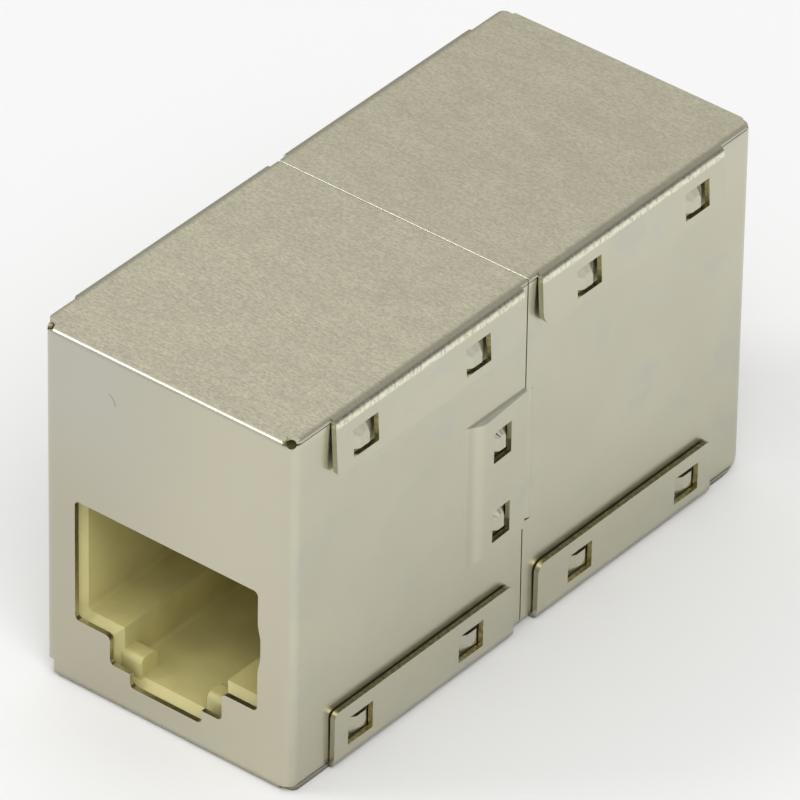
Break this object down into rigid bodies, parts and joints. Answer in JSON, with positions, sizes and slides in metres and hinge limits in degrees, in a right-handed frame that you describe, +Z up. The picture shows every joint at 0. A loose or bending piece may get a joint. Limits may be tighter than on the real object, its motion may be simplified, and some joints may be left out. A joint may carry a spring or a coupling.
{
  "type": "shielded modular inline coupler",
  "caption": "Shielded inline coupler that joins two network patch leads: a box folded from plated sheet with a plug socket in each end.",
  "frame": {"origin": "middle of the footprint, on the surface the coupler rests on", "axes": "+X across the coupler, +Y through it from the front socket to the rear socket, +Z up, with the plug latches down"},
  "size_m": [0.0176, 0.0378, 0.0222],
  "materials": {
    "plated_sheet": "satin nickel plating on folded sheet, with a fine short grain on the covers",
    "ivory_moulding": "moulded ivory plastic, slightly glossy",
    "dark_moulding": "moulded black plastic",
    "gold_contact": "gold-plated spring wire",
    "board_laminate": "green solder resist on glass laminate"
  },
  "bodies": {
    "root": {"front_shield": "plated_sheet", "front_housing": "ivory_moulding", "front_contact_block": "dark_moulding", "front_contact_1": "gold_contact", "front_contact_2": "gold_contact", "front_contact_3": "gold_contact", "front_contact_4": "gold_contact", "front_contact_5": "gold_contact", "front_contact_6": "gold_contact", "front_contact_7": "gold_contact", "front_contact_8": "gold_contact", "rear_shield": "plated_sheet", "rear_housing": "ivory_moulding", "rear_contact_block": "dark_moulding", "rear_contact_1": "gold_contact", "rear_contact_2": "gold_contact", "rear_contact_3": "gold_contact", "rear_contact_4": "gold_contact", "rear_contact_5": "gold_contact", "rear_contact_6": "gold_contact", "rear_contact_7": "gold_contact", "rear_contact_8": "gold_contact", "circuit_board": "board_laminate"}
  },
  "joints": []
}
